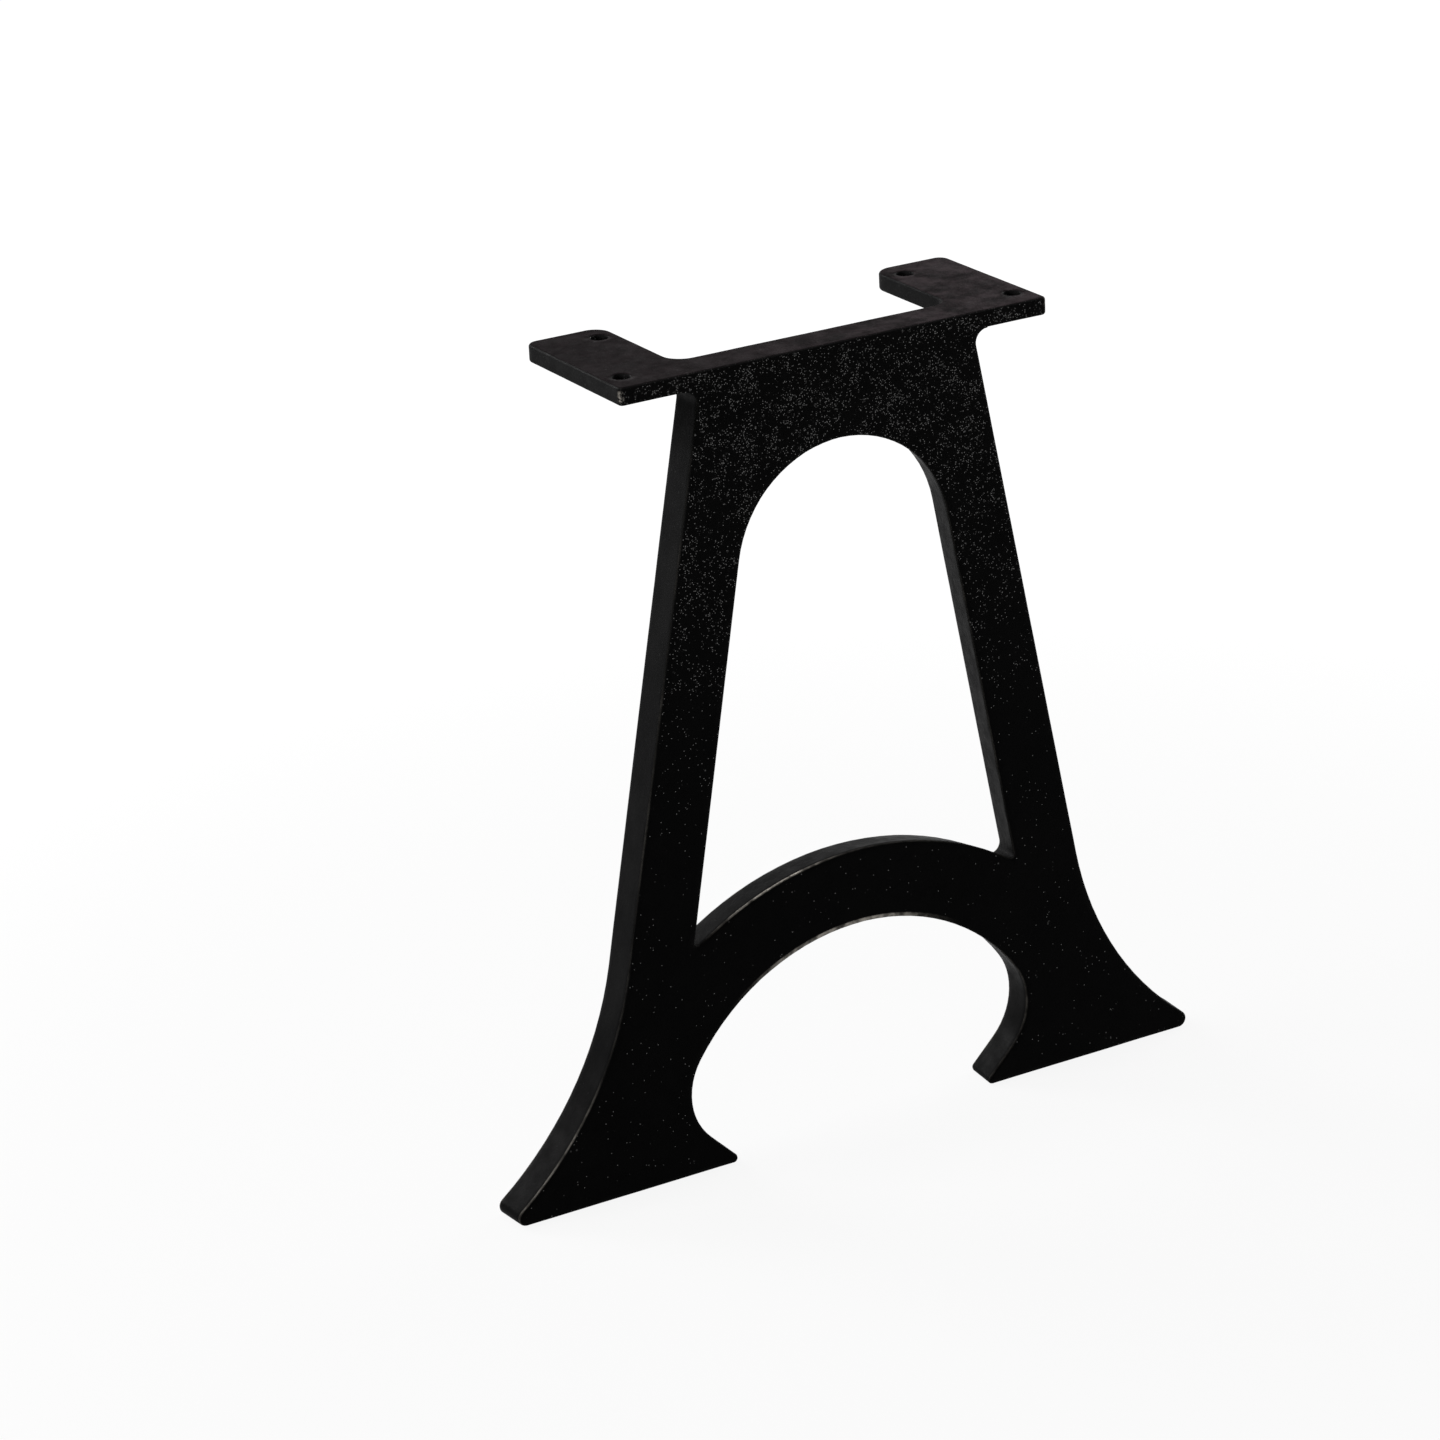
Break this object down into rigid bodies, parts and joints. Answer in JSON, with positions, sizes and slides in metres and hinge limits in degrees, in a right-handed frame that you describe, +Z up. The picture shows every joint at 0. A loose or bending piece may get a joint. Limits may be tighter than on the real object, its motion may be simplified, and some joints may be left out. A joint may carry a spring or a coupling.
{
  "type": "trestle table leg",
  "caption": "Cast-iron A-frame trestle leg with an arched window, curved crossbar, flared feet, a ribbed inner side and a U-shaped top flange drilled for a table or bench top.",
  "frame": {"origin": "on the floor, at the bottom centre of the bounding box", "axes": "+X along the spread of the feet, +Y towards the inner side where the flange's tabs point, +Z up"},
  "size_m": [0.4076, 0.095, 0.42],
  "materials": {
    "black_cast_iron": "satin black paint on sand-cast iron, rubbed to bare metal on a few edges"
  },
  "bodies": {
    "root": {"cast_leg": "black_cast_iron"}
  },
  "joints": []
}
